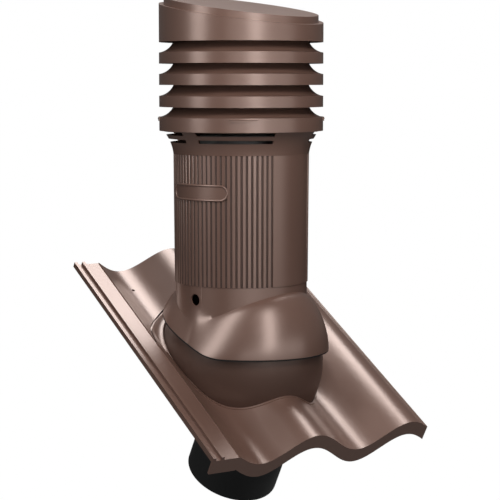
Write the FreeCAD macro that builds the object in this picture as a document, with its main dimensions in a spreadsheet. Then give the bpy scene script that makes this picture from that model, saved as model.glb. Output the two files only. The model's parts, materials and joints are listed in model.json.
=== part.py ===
import FreeCAD, Part

import math
import os

import Sketcher

# Roof tile vent. Frame: the origin is the centre of the ball dome, +Z is up and is the axis
# of the chimney, the eave lies towards -Y and the ridge towards +Y. The tile plate is drawn
# flat and then raised to the roof pitch about X. Everything on the chimney is drawn facing
# -Y and then turned about Z, as the ball dome and the chimney stand turned in the tile.

doc = FreeCAD.newDocument("roof_tile_vent")
sheet = doc.addObject("Spreadsheet::Sheet", "Sizes")

SIZES = {
    # The roof and how the chimney stands on it
    "roof_pitch": 29.47,
    "turn_angle": 14.0,
    "wall": 2.5,
    "thick_wall": 3.0,
    # The tile plate, measured from the centre of the ball dome
    "tile_below": 193.4,
    "tile_length": 420.0,
    "wave_pitch": 150.0,
    "wave_rise": 17.25,
    "wave_middle": 6.35,
    "land_edge": 113.6,
    "land_level": 6.0,
    "tile_left": 152.4,
    "tile_right": 182.4,
    "rail_width": 4.5,
    "rail_rise": 4.4,
    "rail_step": 12.0,
    "hook_depth": 7.0,
    "hook_drop": 0.5,
    "nose_depth": 21.0,
    "nail_across": 76.0,
    "nail_up": 180.0,
    "nail_radius": 2.5,
    "nib_width": 34.0,
    "nib_depth": 18.0,
    "nib_thickness": 8.0,
    "nib_setback": 24.0,
    # The seat round the dome
    "seat_bottom": 15.0,
    "seat_thickness": 2.5,
    "skirt_depth": 45.0,
    "lip_width": 2.5,
    "lip_rise": 1.2,
    # The shoulder that fills the trough to the left of the dome, and the gap round it
    "shoulder_across": 8.0,
    "shoulder_up": 20.0,
    "shoulder_radius": 121.5,
    "shoulder_level": 0.5,
    "shoulder_edge": 11.5,
    "shoulder_round": 14.0,
    "shoulder_bend": 18.0,
    "shoulder_foot": 5.0,
    "groove_width": 2.5,
    "groove_floor": 13.3,
    "groove_start": 112.0,
    "groove_arc": 58.0,
    "seat_gap": 0.5,
    "gasket_thickness": 1.5,
    "flange_radius": 126.0,
    "flange_thickness": 3.0,
    "screw_circle": 120.5,
    "screw_side_angle": 68.0,
    "screw_radius": 2.0,
    "screw_length": 17.0,
    "screw_head_radius": 4.0,
    "screw_head_height": 2.6,
    "boss_radius": 5.0,
    # The ball dome, its opening and the ducts
    "ball_radius": 117.0,
    "ball_half_width": 100.0,
    "pole_flat": 8.0,
    "opening_radius": 58.0,
    "opening_front": 20.0,
    "opening_rear": 12.0,
    "duct_radius": 62.5,
    "duct_corner": 119.0,
    "duct_bend": 70.0,
    "duct_stub": 47.0,
    "inner_ball": 64.0,
    "ball_skirt": 15.0,
    "ball_play": 0.3,
    "socket_top": 23.0,
    "seal_height": 4.0,
    "seal_depth": 1.7,
    "inner_radius": 55.0,
    "inner_top": 300.0,
    # The hood and its neck
    "neck_radius": 88.0,
    "neck_bottom": 20.0,
    "rim_level": 13.5,
    "rim_front": 58.0,
    "rim_bend": 100.0,
    "rim_slope": 19.8,
    "arch_radius": 61.0,
    "arch_drop": 20.0,
    "spigot_radius": 86.4,
    "spigot_top": 125.0,
    "spigot_wall": 4.0,
    "neck_hole_level": 87.0,
    "neck_hole_radius": 7.7,
    "strip_width": 20.6,
    "strip_rise": 0.5,
    # The fluted pipe
    "pipe_bottom": 105.0,
    "pipe_top": 276.0,
    "pipe_radius": 89.3,
    "pipe_top_radius": 90.5,
    "flute_radius": 1.7,
    "flute_depth": 1.1,
    "flute_step": 4.34,
    "plain_half": 18.4,
    "badge_level": 224.5,
    "badge_angle": 92.0,
    "badge_width": 98.0,
    "badge_height": 23.0,
    "badge_rise": 1.6,
    "badge_rim": 2.2,
    "sleeve_bottom": 128.0,
    "cover_level": 268.0,
    # The slotted collar
    "collar_bend": 57.0,
    "collar_top": 306.2,
    "collar_top_radius": 104.0,
    "collar_floor": 3.0,
    "collar_spigot": 5.0,
    "collar_play": 0.2,
    "floor_radius": 78.0,
    "slot_upper": 302.9,
    "slot_upper_height": 3.0,
    "slot_lower": 293.4,
    "slot_lower_height": 2.8,
    "slot_start": 19.0,
    "slot_split": 88.0,
    "slot_resume": 100.0,
    "slot_end": 161.0,
    # The louvre rings and the cap
    "ring_radius": 109.0,
    "ring_neck": 90.0,
    "ring_bend": 25.0,
    "ring_flare": 14.3,
    "ring_lip": 2.6,
    "band_height": 14.4,
    "low_band_height": 18.1,
    "ring_1_level": 394.7,
    "ring_2_level": 366.5,
    "ring_3_level": 337.7,
    "tab_arc": 18.4,
    "tab_height": 5.0,
    "tab_rise": 1.4,
    "post_width": 14.0,
    "post_setback": 0.5,
    "cap_bottom": 422.9,
    "cap_height": 38.5,
    "cap_slope": 9.2,
    "lid_inset": 6.5,
    "lid_rise": 9.0,
}


class Size:
    """A size known both as a number and as an expression on the sheet."""

    def __init__(self, value, text):
        self.value = value
        self.text = text

    def __float__(self):
        return float(self.value)

    def joined(self, other, sign):
        other = as_size(other)
        values = {
            "+": lambda first, second: first + second,
            "-": lambda first, second: first - second,
            "*": lambda first, second: first * second,
            "/": lambda first, second: first / second,
        }
        return Size(values[sign](self.value, other.value), f"({self.text} {sign} {other.text})")

    def __add__(self, other):
        return self.joined(other, "+")

    def __sub__(self, other):
        return self.joined(other, "-")

    def __mul__(self, other):
        return self.joined(other, "*")

    def __truediv__(self, other):
        return self.joined(other, "/")

    def __radd__(self, other):
        return as_size(other) + self

    def __rsub__(self, other):
        return as_size(other) - self

    def __rmul__(self, other):
        return as_size(other) * self

    def __neg__(self):
        return 0 - self


def as_size(number):
    """A plain number as a Size; a Size stays as it is."""
    if isinstance(number, Size):
        return number
    return Size(float(number), f"{float(number):.6f}")


class SheetSizes:
    """The cells of the sheet, read by name."""

    def __getattr__(self, name):
        return Size(float(sheet.get(name)), f"Sizes.{name}")


for row, (name, value) in enumerate(SIZES.items(), start=1):
    sheet.set(f"A{row}", name)
    sheet.set(f"B{row}", str(value))
    sheet.setAlias(f"B{row}", name)
doc.recompute()
size = SheetSizes()

REACH = 400.0
RISE = FreeCAD.Vector(0, 0, 1)
ACROSS = FreeCAD.Vector(1, 0, 0)
ALONG = FreeCAD.Vector(0, 1, 0)
ORIGIN = FreeCAD.Vector(0, 0, 0)
ROOF = FreeCAD.Placement(ORIGIN, FreeCAD.Rotation(ACROSS, float(size.roof_pitch)))
TURN = FreeCAD.Placement(ORIGIN, FreeCAD.Rotation(RISE, float(size.turn_angle)))
LEVEL = FreeCAD.Placement()

pieces = {}


def bind(thing, **properties):
    """Set properties of an object and bind those given as a Size to the sheet."""
    for name, given in properties.items():
        given = as_size(given)
        setattr(thing, name, given.value)
        if "Sizes." in given.text:
            thing.setExpression(name, given.text)
    return thing


def place(thing, frame, x=0, y=0, z=0, turn=0):
    """Place an object at x, y, z in a frame, first turned about its own Z."""
    thing.Placement = frame.multiply(
        FreeCAD.Placement(
            FreeCAD.Vector(float(x), float(y), float(z)), FreeCAD.Rotation(RISE, float(turn))
        )
    )
    return thing


def cylinder(name, radius, height, frame=LEVEL, x=0, y=0, z=0, turn=0, arc=360):
    """A cylinder, or a sector of one."""
    made = bind(doc.addObject("Part::Cylinder", name), Radius=radius, Height=height, Angle=arc)
    return place(made, frame, x, y, z, turn)


def box(name, length, width, height, frame=LEVEL, x=0, y=0, z=0, turn=0):
    """A box from its lowest corner."""
    made = bind(doc.addObject("Part::Box", name), Length=length, Width=width, Height=height)
    return place(made, frame, x, y, z, turn)


def solid(name, shape, frame=LEVEL):
    """A shape drawn with Part's own functions, as an object of the document."""
    made = doc.addObject("Part::Feature", name)
    made.Shape = shape
    made.Placement = frame
    return made


def ball(name, radius, half_width):
    """A ball dome's form, narrower along X, with a small flat at each end of its axis.

    Half an ellipse is turned about X from below, so that its seam lies under the tile.
    """
    across = float(half_width)
    reach = float(radius)
    flat = float(size.pole_flat)
    edge = across * ring_level(1.0, flat / reach)
    points = (
        FreeCAD.Vector(edge, 0, -flat),
        FreeCAD.Vector(-edge, 0, -flat),
        FreeCAD.Vector(-edge, 0, 0),
        FreeCAD.Vector(edge, 0, 0),
    )
    start = math.asin(flat / reach)
    half = Part.Ellipse(ORIGIN, reach, across)
    arc = Part.ArcOfEllipse(half, -math.pi / 2 + start, math.pi / 2 - start).toShape()
    arc.rotate(ORIGIN, RISE, 90)
    arc.rotate(ORIGIN, ACROSS, -90)
    lines = [
        Part.LineSegment(points[number], points[(number + 1) % 4]).toShape()
        for number in (1, 2, 3)
    ]
    face = Part.Face(Part.Wire(Part.__sortEdges__([arc, *lines])))
    return solid(name, face.revolve(ORIGIN, ACROSS, 360), TURN)


def fuse(name, things):
    """Several objects as one."""
    made = doc.addObject("Part::MultiFuse", name)
    made.Shapes = things
    return made


def cut(name, base, tools):
    """An object less others."""
    made = doc.addObject("Part::Cut", name)
    made.Base = base
    made.Tool = tools[0] if len(tools) == 1 else fuse(f"{name}_tools", tools)
    return made


def common(name, base, tool):
    """What two objects share."""
    made = doc.addObject("Part::Common", name)
    made.Base = base
    made.Tool = tool
    return made


def keep(label, thing):
    """Name a finished piece."""
    thing.Label = label
    pieces[label] = thing
    return thing


def outline_arc(start, end, radius, side):
    """The arc between two corners that bulges to the right of the way it goes, or left at -1."""
    chord = end - start
    middle = (start + end) / 2
    left = FreeCAD.Vector(-chord.y, chord.x, 0) / chord.Length
    centre = middle + left * side * math.sqrt(radius**2 - chord.Length**2 / 4)
    first, last = (start, end) if side > 0 else (end, start)
    angles = [math.atan2(corner.y - centre.y, corner.x - centre.x) for corner in (first, last)]
    if angles[1] < angles[0]:
        angles[1] += 2 * math.pi
    return Part.ArcOfCircle(Part.Circle(centre, RISE, radius), angles[0], angles[1])


def turned(name, outline, frame=TURN):
    """A body turned about Z from an outline of (radius, level) corners.

    A corner may carry the radius of the arc that leads to the next corner, and the side that
    it bulges to: 1 for the right of the way it goes and -1 for the left.
    """
    body = doc.addObject("PartDesign::Body", name)
    sketch = body.newObject("Sketcher::SketchObject", f"{name}_outline")
    roles = {item.Role: item for item in body.Origin.OriginFeatures}
    sketch.AttachmentSupport = (roles["XZ_Plane"], [""])
    sketch.MapMode = "FlatFace"
    corners = [(as_size(corner[0]), as_size(corner[1])) for corner in outline]
    for index, corner in enumerate(outline):
        following = corners[(index + 1) % len(corners)]
        start = FreeCAD.Vector(corners[index][0].value, corners[index][1].value, 0)
        end = FreeCAD.Vector(following[0].value, following[1].value, 0)
        if len(corner) > 2:
            sketch.addGeometry(outline_arc(start, end, float(corner[2]), corner[3]))
        else:
            sketch.addGeometry(Part.LineSegment(start, end))
    for index, corner in enumerate(outline):
        edge = sketch.Geometry[index]
        wanted = FreeCAD.Vector(corners[index][0].value, corners[index][1].value, 0)
        point = 1 if edge.StartPoint.distanceToPoint(wanted) < 1e-6 else 2
        for kind, given in (("DistanceX", corners[index][0]), ("DistanceY", corners[index][1])):
            if abs(given.value) < 1e-9:
                axis = -2 if kind == "DistanceX" else -1
                sketch.addConstraint(Sketcher.Constraint("PointOnObject", index, point, axis))
                continue
            number = sketch.addConstraint(
                Sketcher.Constraint(kind, -1, 1, index, point, given.value)
            )
            if "Sizes." in given.text:
                sketch.setExpression(f"Constraints[{number}]", given.text)
        before = (index - 1) % len(outline)
        other = sketch.Geometry[before]
        other_point = 1 if other.StartPoint.distanceToPoint(wanted) < 1e-6 else 2
        sketch.addConstraint(
            Sketcher.Constraint("Coincident", before, other_point, index, point)
        )
        if len(corner) > 2:
            bend = as_size(corner[2])
            number = sketch.addConstraint(Sketcher.Constraint("Radius", index, bend.value))
            if "Sizes." in bend.text:
                sketch.setExpression(f"Constraints[{number}]", bend.text)
    revolution = body.newObject("PartDesign::Revolution", f"{name}_turned")
    revolution.Profile = sketch
    revolution.ReferenceAxis = (sketch, ["V_Axis"])
    revolution.Angle = 360.0
    body.Tip = revolution
    body.Placement = frame
    return body


def wave_level(across):
    """Height of the tile's top face over the flat, at a place across it."""
    turns = 2 * math.pi * across / float(size.wave_pitch)
    return float(size.wave_middle) + float(size.wave_rise) * math.cos(turns)


def wave_curve(left, right, lift):
    """The tile's wave as a curve across it, lifted by a distance."""
    steps = max(4, round((right - left) / (float(size.wave_pitch) / 12)))
    points = []
    for step in range(steps + 1):
        across = left + (right - left) * step / steps
        points.append(FreeCAD.Vector(across, 0, wave_level(across) + lift))
    curve = Part.BSplineCurve()
    curve.interpolate(points)
    return curve.toShape()


def wave_slab(left, right, lower, upper, start, length):
    """The wave as a slab between two lifts, from start and on towards the ridge."""
    low = wave_curve(left, right, lower)
    high = wave_curve(left, right, upper)
    sides = []
    for end in (0, -1):
        foot = low.Vertexes[end].Point
        head = high.Vertexes[end].Point
        sides.append(Part.LineSegment(foot, head).toShape())
    face = Part.Face(Part.Wire(Part.__sortEdges__([low, sides[0], high, sides[1]])))
    face.translate(FreeCAD.Vector(0, start, 0))
    return face.extrude(FreeCAD.Vector(0, length, 0))


def tile_plate():
    """The moulded tile: wave, nose, interlock, seat for the dome, bosses and nibs."""
    eave = -float(size.tile_below)
    length = float(size.tile_length)
    wall = float(size.thick_wall)
    left = -float(size.land_edge)
    right = float(size.tile_right)
    wave = solid("wave", wave_slab(left, right, -wall, 0, eave, length), ROOF)
    nose_drop = -float(size.nose_depth)
    nose = solid("nose", wave_slab(left, right, nose_drop, 0, eave, wall), ROOF)
    land = box(
        "land",
        size.tile_left - size.land_edge,
        size.tile_length,
        size.thick_wall,
        ROOF,
        x=-size.tile_left,
        y=-size.tile_below,
        z=size.land_level - size.thick_wall,
    )
    land_nose = box(
        "land_nose",
        size.tile_left - size.land_edge,
        size.thick_wall,
        size.nose_depth,
        ROOF,
        x=-size.tile_left,
        y=-size.tile_below,
        z=size.land_level - size.nose_depth,
    )
    rails = []
    for number in range(2):
        rails.append(
            box(
                f"rail_{number}",
                size.rail_width,
                size.tile_length,
                size.rail_rise + size.thick_wall,
                ROOF,
                x=-size.tile_left + number * size.rail_step,
                y=-size.tile_below,
                z=size.land_level - size.thick_wall,
            )
        )
    hooks = []
    for number in range(3):
        across = right - float(size.rail_width) / 2 * (1 + 3 * number)
        hooks.append(
            box(
                f"hook_{number}",
                size.rail_width / 2,
                size.tile_length,
                size.hook_depth,
                ROOF,
                x=across,
                y=-size.tile_below,
                z=wave_level(across) - float(size.hook_depth) - float(size.hook_drop),
            )
        )
    nibs = []
    for side in (-1, 1):
        trough = side * float(size.wave_pitch) / 2
        nibs.append(
            box(
                f"nib_{side + 2}",
                size.nib_width,
                size.nib_thickness,
                size.nib_depth + size.thick_wall / 2,
                ROOF,
                x=trough - float(size.nib_width) / 2,
                y=size.tile_length - size.tile_below - size.nib_setback,
                z=wave_level(trough) - wall / 2 - float(size.nib_depth) - wall / 2,
            )
        )
    seat = cylinder(
        "seat", size.flange_radius, size.seat_thickness, ROOF, z=-size.seat_bottom
    )
    skirt_slab = solid(
        "skirt_slab",
        wave_slab(
            left, right, -float(size.skirt_depth), float(size.lip_rise), -REACH / 2, REACH
        ),
        ROOF,
    )
    skirt_form = ball(
        "skirt_form",
        size.ball_radius + size.seat_gap + size.lip_width,
        size.ball_half_width + size.seat_gap + size.lip_width,
    )
    under_seat = box(
        "under_seat",
        2 * REACH,
        2 * REACH,
        REACH,
        ROOF,
        x=-REACH,
        y=-REACH,
        z=-size.seat_bottom - REACH,
    )
    skirt = cut("skirt", common("skirt_whole", skirt_slab, skirt_form), [under_seat])
    bosses = []
    for number, (x, y) in enumerate(screw_places()):
        reach = float(size.boss_radius)
        top = min(wave_level(x - reach), wave_level(x + reach))
        if x < left:
            top = float(size.land_level)
        height = top - wall / 2 + float(size.seat_bottom)
        bosses.append(
            cylinder(f"boss_{number}", size.boss_radius, height, ROOF, x, y, -size.seat_bottom)
        )
    flat_parts = [wave, nose, land, land_nose, *rails, *hooks, *nibs]
    whole = fuse("tile_whole", [*flat_parts, seat, skirt, shoulder(), *bosses])
    opening = ball(
        "tile_opening", size.ball_radius + size.seat_gap, size.ball_half_width + size.seat_gap
    )
    nail_hole = cylinder(
        "nail_hole",
        size.nail_radius,
        size.nose_depth * 2,
        ROOF,
        x=-size.nail_across,
        y=size.nail_up,
        z=-size.nose_depth,
    )
    tools = [opening, nail_hole, shoulder_groove(), *screw_shanks("tile")]
    keep("tile_plate", cut("tile_cut", whole, tools))


def shoulder_frame():
    """The shoulder's own frame: its centre lies a little towards the ridge."""
    return ROOF.multiply(
        FreeCAD.Placement(
            FreeCAD.Vector(float(size.shoulder_across), float(size.shoulder_up), 0),
            FreeCAD.Rotation(),
        )
    )


def shoulder():
    """The hollow shoulder that raises the left trough to the foot of the dome."""
    outer = size.shoulder_radius
    wall = size.thick_wall
    top = size.shoulder_level
    shell = turned(
        "shoulder_shell",
        [
            (outer - wall, -size.seat_bottom),
            (outer + size.shoulder_foot, -size.seat_bottom),
            (outer + size.shoulder_foot, -size.seat_bottom + size.seat_thickness),
            (outer, -size.seat_bottom + size.seat_thickness),
            (outer, -size.shoulder_edge, size.shoulder_bend, 1),
            (outer - size.shoulder_round, top),
            (0, top),
            (0, top - wall),
            (outer - size.shoulder_round, top - wall, size.shoulder_bend - wall, -1),
            (outer - wall, -size.shoulder_edge),
        ],
        shoulder_frame(),
    )
    right_half = box("right_half", REACH, 2 * REACH, REACH, ROOF, y=-REACH, z=-REACH / 2)
    return cut("shoulder", shell, [right_half])


def shoulder_groove():
    """The dark gap between the shoulder and the trough."""
    frame = shoulder_frame()
    height = 2 * size.groove_floor
    sector = cylinder(
        "groove_sector",
        size.shoulder_radius + size.groove_width,
        height,
        frame,
        z=-size.groove_floor,
        turn=size.groove_start,
        arc=size.groove_arc,
    )
    core = cylinder("groove_core", size.shoulder_radius, height, frame, z=-size.groove_floor)
    return cut("groove", sector, [core])


def screw_places():
    """Where the flange screws stand: at both sides and in pairs under the crest."""
    radius = float(size.screw_circle)
    side = float(size.screw_side_angle)
    angles = (0, side, 180 - side, 180, 180 + side, 360 - side)
    return [
        (radius * math.cos(math.radians(angle)), radius * math.sin(math.radians(angle)))
        for angle in angles
    ]


def flange_levels():
    """The faces under the seat: the gasket's, the dome flange's and the carrier's lower ones."""
    gasket = -size.seat_bottom - size.gasket_thickness
    flange = gasket - size.flange_thickness
    carrier = flange - size.flange_thickness
    return gasket, flange, carrier


def screw_shanks(name):
    """The six screws' shanks, as pins or as the holes for them."""
    carrier = flange_levels()[2]
    return [
        cylinder(f"{name}_shank_{number}", size.screw_radius, size.screw_length, ROOF, x, y, carrier)
        for number, (x, y) in enumerate(screw_places())
    ]


def dome_gasket():
    """The flat ring that seals the dome's flange to the seat."""
    gasket = flange_levels()[0]
    ring = cylinder("gasket_disc", size.flange_radius, size.gasket_thickness, ROOF, z=gasket)
    hollow = ball(
        "gasket_hollow", size.ball_radius + size.seat_gap, size.ball_half_width + size.seat_gap
    )
    keep("dome_gasket", cut("gasket_cut", ring, [hollow, *screw_shanks("gasket")]))


def ball_dome():
    """The ball dome, open at the top for the duct, with its flange under the seat."""
    flange = flange_levels()[1]
    outer = ball("dome_outer", size.ball_radius, size.ball_half_width)
    inner = ball(
        "dome_inner", size.ball_radius - size.thick_wall, size.ball_half_width - size.thick_wall
    )
    below = box(
        "below_flange", 2 * REACH, 2 * REACH, REACH, ROOF, x=-REACH, y=-REACH, z=flange - REACH
    )
    bowl = cut("dome_bowl", cut("dome_above", outer, [below]), [inner])
    disc = cylinder("dome_flange", size.flange_radius, size.flange_thickness, ROOF, z=flange)
    flange_ring = cut("dome_flange_ring", disc, [inner])
    whole = fuse("dome_whole", [bowl, flange_ring])
    front = cylinder(
        "opening_front_end", size.opening_radius, REACH, TURN, y=-size.opening_front
    )
    rear = cylinder("opening_rear_end", size.opening_radius, REACH, TURN, y=size.opening_rear)
    between = box(
        "opening_between",
        2 * size.opening_radius,
        size.opening_front + size.opening_rear,
        REACH,
        TURN,
        x=-size.opening_radius,
        y=-size.opening_front,
    )
    tools = [front, rear, between, *screw_shanks("dome")]
    keep("ball_dome", cut("dome_cut", whole, tools))


def duct_carrier():
    """The ring plate that carries the duct's socket under the dome."""
    _, flange, carrier = flange_levels()
    disc = cylinder("carrier_disc", size.flange_radius, size.flange_thickness, ROOF, z=carrier)
    socket = bind(doc.addObject("Part::Sphere", "carrier_seat"), Radius=socket_outer())
    duct = cylinder("carrier_duct", size.duct_radius, REACH, z=-REACH)
    keep("duct_carrier", cut("carrier_cut", disc, [socket, duct, *screw_shanks("carrier")]))


def flange_screws():
    """Six pan-head screws from below through carrier, flange and gasket into the seat."""
    carrier = flange_levels()[2]
    screws = []
    for number, (x, y) in enumerate(screw_places()):
        shank = cylinder(f"shank_{number}", size.screw_radius, size.screw_length, ROOF, x, y, carrier)
        head = cylinder(
            f"head_{number}",
            size.screw_head_radius,
            size.screw_head_height,
            ROOF,
            x,
            y,
            carrier - size.screw_head_height,
        )
        screws.append(fuse(f"screw_{number}", [shank, head]))
    group = doc.addObject("Part::Compound", "screw_group")
    group.Links = screws
    keep("flange_screws", group)


def socket_inner():
    """Inner radius of the socket round the inner duct's ball."""
    return size.inner_ball + size.ball_play


def socket_outer():
    """Outer radius of the socket."""
    return socket_inner() + size.thick_wall


def ring_level(radius, reach):
    """How far from a ball's middle its surface has a smaller radius."""
    return math.sqrt(float(radius) ** 2 - float(reach) ** 2)


def lower_duct():
    """The black duct: lower half of the socket, drop, bend and stub square to the roof."""
    inner_radius = size.duct_radius - size.thick_wall
    outer_foot = ring_level(socket_outer(), size.duct_radius)
    inner_foot = ring_level(socket_inner(), inner_radius)
    pitch = math.radians(float(size.roof_pitch))
    tangent = float(size.duct_bend) * math.tan(pitch / 2)
    corner = FreeCAD.Vector(0, 0, -float(size.duct_corner))
    away = FreeCAD.Vector(0, math.sin(pitch), -math.cos(pitch))
    start = corner + RISE * tangent
    bend_end = corner + away * tangent
    stub_end = corner + away * float(size.duct_stub)
    centre = start + ALONG * float(size.duct_bend)
    halfway = centre + FreeCAD.Vector(0, -math.cos(pitch / 2), -math.sin(pitch / 2)) * float(
        size.duct_bend
    )
    hollow_top = FreeCAD.Vector(0, 0, -inner_foot)
    hollow_end = stub_end + away
    solids = []
    for radius, top, end in (
        (size.duct_radius, FreeCAD.Vector(0, 0, -outer_foot), stub_end),
        (inner_radius, hollow_top, hollow_end),
    ):
        path = Part.Wire(
            [
                Part.LineSegment(top, start).toShape(),
                Part.Arc(start, halfway, bend_end).toShape(),
                Part.LineSegment(bend_end, end).toShape(),
            ]
        )
        circle = Part.Wire(Part.makeCircle(float(radius), top, RISE))
        solids.append(path.makePipeShell([circle], True, False))
    for radius, foot in ((socket_outer(), outer_foot), (socket_inner(), inner_foot)):
        whole = Part.makeSphere(float(radius))
        band = Part.makeBox(REACH, REACH, foot, FreeCAD.Vector(-REACH / 2, -REACH / 2, -foot))
        solids.append(whole.common(band))
    outside = solids[0].fuse(solids[2])
    inside = solids[1].fuse(solids[3])
    groove = Part.makeCylinder(
        float(socket_inner() + size.seal_depth), float(size.seal_height) / 2, ORIGIN, -RISE
    )
    keep("lower_duct", solid("duct_shape", outside.cut(inside).cut(groove).removeSplitter()))


def socket_ring():
    """The upper half of the socket, which keeps the ball in."""
    outer = bind(doc.addObject("Part::Sphere", "ring_outer"), Radius=socket_outer())
    inner = bind(doc.addObject("Part::Sphere", "ring_inner"), Radius=socket_inner())
    above = box("above_ring", REACH, REACH, REACH, x=-REACH / 2, y=-REACH / 2, z=size.socket_top)
    below = box("below_ring", REACH, REACH, REACH, x=-REACH / 2, y=-REACH / 2, z=-REACH)
    groove = cylinder("ring_groove", socket_inner() + size.seal_depth, size.seal_height / 2)
    keep("socket_ring", cut("ring_cut", outer, [inner, above, below, groove]))


def ball_seal():
    """The rubber ring in the groove of the socket."""
    half = size.seal_height / 2
    outer = socket_inner() + size.seal_depth
    outline = [
        (socket_inner(), -half),
        (outer, -half),
        (outer, half),
        (socket_inner(), half),
    ]
    keep("ball_seal", turned("seal", outline, LEVEL))


def inner_duct():
    """The inner duct of the chimney, belled out to a ball at its foot."""
    ball_radius = size.inner_ball
    bore_ball = size.inner_ball - size.wall
    bore = size.inner_radius - size.wall
    pipe = cylinder("inner_pipe", size.inner_radius, size.inner_top, TURN)
    outer = bind(doc.addObject("Part::Sphere", "inner_ball_outer"), Radius=ball_radius)
    skirt_below = box(
        "under_skirt", REACH, REACH, REACH, x=-REACH / 2, y=-REACH / 2, z=-size.ball_skirt - REACH
    )
    ball_top = ring_level(ball_radius, size.inner_radius)
    over = box("over_ball", REACH, REACH, REACH, x=-REACH / 2, y=-REACH / 2, z=ball_top)
    band = cut("ball_band", outer, [skirt_below, over])
    whole = fuse("inner_whole", [pipe, band])
    hollow = bind(doc.addObject("Part::Sphere", "inner_ball_hollow"), Radius=bore_ball)
    hollow_top = ring_level(bore_ball, bore)
    over_hollow = box("over_hollow", REACH, REACH, REACH, x=-REACH / 2, y=-REACH / 2, z=hollow_top)
    hollow_band = cut("hollow_band", hollow, [over_hollow])
    through = cylinder("inner_bore", bore, size.inner_top + 1, TURN)
    keep("inner_duct", cut("inner_cut", whole, [hollow_band, through]))


HOOD_SECTIONS = [
    # level, half-width and half-length of the hood
    (5.0, 108.5, 126.0),
    (14.0, 108.0, 125.0),
    (33.0, 100.5, 122.5),
    (59.0, 90.0, 116.5),
    (75.0, 84.0, 109.5),
    (86.0, 76.5, 104.4),
    (93.0, 65.0, 99.5),
    (96.5, 57.0, 92.5),
    (98.5, 48.0, 87.0),
]


def hood_form(inset):
    """The hood's form as a loft through level ellipses, inset by a wall."""
    wires = []
    for level, half_width, half_length in HOOD_SECTIONS:
        ellipse = Part.Ellipse(ORIGIN, half_length - inset, half_width - inset)
        edge = ellipse.toShape()
        edge.rotate(ORIGIN, RISE, 90)
        drop = inset if level > float(size.neck_hole_level) else 0.0
        edge.translate(FreeCAD.Vector(0, 0, level - drop))
        wires.append(Part.Wire(edge))
    return Part.makeLoft(wires, True, False)


def hood_underside():
    """What lies under the hood's rim: level at the front, then bent up towards the ridge."""
    slope = math.radians(float(size.rim_slope))
    bend = float(size.rim_bend)
    start = FreeCAD.Vector(0, -float(size.rim_front), float(size.rim_level))
    centre = start + RISE * bend
    halfway = centre + FreeCAD.Vector(0, math.sin(slope / 2), -math.cos(slope / 2)) * bend
    end = centre + FreeCAD.Vector(0, math.sin(slope), -math.cos(slope)) * bend
    ridge = end + FreeCAD.Vector(0, math.cos(slope), math.sin(slope)) * REACH
    corners = [
        ridge,
        FreeCAD.Vector(0, ridge.y, -REACH),
        FreeCAD.Vector(0, -REACH, -REACH),
        FreeCAD.Vector(0, -REACH, start.z),
        start,
    ]
    edges = [
        Part.LineSegment(first, second).toShape()
        for first, second in zip(corners, corners[1:])
    ]
    edges.append(Part.Arc(start, halfway, end).toShape())
    edges.append(Part.LineSegment(end, ridge).toShape())
    face = Part.Face(Part.Wire(Part.__sortEdges__(edges)))
    face.translate(ACROSS * -REACH)
    return solid("hood_underside", face.extrude(ACROSS * 2 * REACH), TURN)


def crest_arch():
    """The round way that the hood leaves for the tile's middle crest behind it."""
    arch = bind(
        doc.addObject("Part::Cylinder", "crest_arch"), Radius=size.arch_radius, Height=REACH
    )
    arch.Placement = ROOF.multiply(
        FreeCAD.Placement(RISE * -float(size.arch_drop), FreeCAD.Rotation(ACROSS, -90))
    )
    return arch


def hood_shell():
    """The hood over the dome, its neck and the spigot that takes the pipe."""
    neck_inner = size.neck_radius - size.thick_wall
    form = solid("hood_outside", hood_form(0.0), TURN)
    neck = cylinder(
        "neck", size.neck_radius, size.pipe_bottom - size.neck_bottom, TURN, z=size.neck_bottom
    )
    spigot = cylinder(
        "spigot",
        size.spigot_radius,
        size.spigot_top - size.pipe_bottom + size.spigot_wall,
        TURN,
        z=size.pipe_bottom - size.spigot_wall,
    )
    strips = []
    for side in (-1, 1):
        reach = size.neck_radius + size.strip_rise
        slab = box(
            f"strip_slab_{side + 2}",
            reach,
            size.strip_width,
            size.pipe_bottom - size.neck_hole_level,
            TURN,
            x=0 if side > 0 else -reach,
            y=-size.strip_width / 2,
            z=size.neck_hole_level,
        )
        round_form = cylinder(f"strip_form_{side + 2}", reach, size.pipe_bottom, TURN)
        strips.append(common(f"strip_{side + 2}", slab, round_form))
    whole = fuse("hood_whole", [form, neck, spigot, *strips])
    cavity = solid("hood_inside", hood_form(float(size.wall)), TURN)
    neck_bore = cylinder("neck_bore", neck_inner, size.pipe_bottom - size.spigot_wall, TURN)
    spigot_bore = cylinder("spigot_bore", size.spigot_radius - size.wall, size.spigot_top + 1, TURN)
    holes = doc.addObject("Part::Cylinder", "neck_holes")
    bind(holes, Radius=size.neck_hole_radius, Height=4 * size.neck_radius)
    holes.Placement = TURN.multiply(
        FreeCAD.Placement(
            FreeCAD.Vector(-2 * float(size.neck_radius), 0, float(size.neck_hole_level)),
            FreeCAD.Rotation(ALONG, 90),
        )
    )
    tools = [cavity, neck_bore, spigot_bore, hood_underside(), crest_arch(), holes]
    keep("hood_shell", cut("hood_cut", whole, tools))


def pipe_reach(level, inset=0):
    """Radius of the tapered pipe at a level, less an inset."""
    share = (level - size.pipe_bottom) / (size.pipe_top - size.pipe_bottom)
    return size.pipe_radius + share * (size.pipe_top_radius - size.pipe_radius) - inset


def flute_cutter(angle):
    """A thin rod along the tapered pipe that cuts one flute."""
    sunk = float(size.flute_radius) - float(size.flute_depth)
    heading = math.radians(angle)
    outward = FreeCAD.Vector(-math.sin(heading), -math.cos(heading), 0)
    low = outward * (float(size.pipe_radius) + sunk) + RISE * float(size.pipe_bottom)
    high = outward * (float(size.pipe_top_radius) + sunk) + RISE * float(size.pipe_top)
    along = high - low
    return Part.makeCylinder(float(size.flute_radius), along.Length, low, along)


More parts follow.
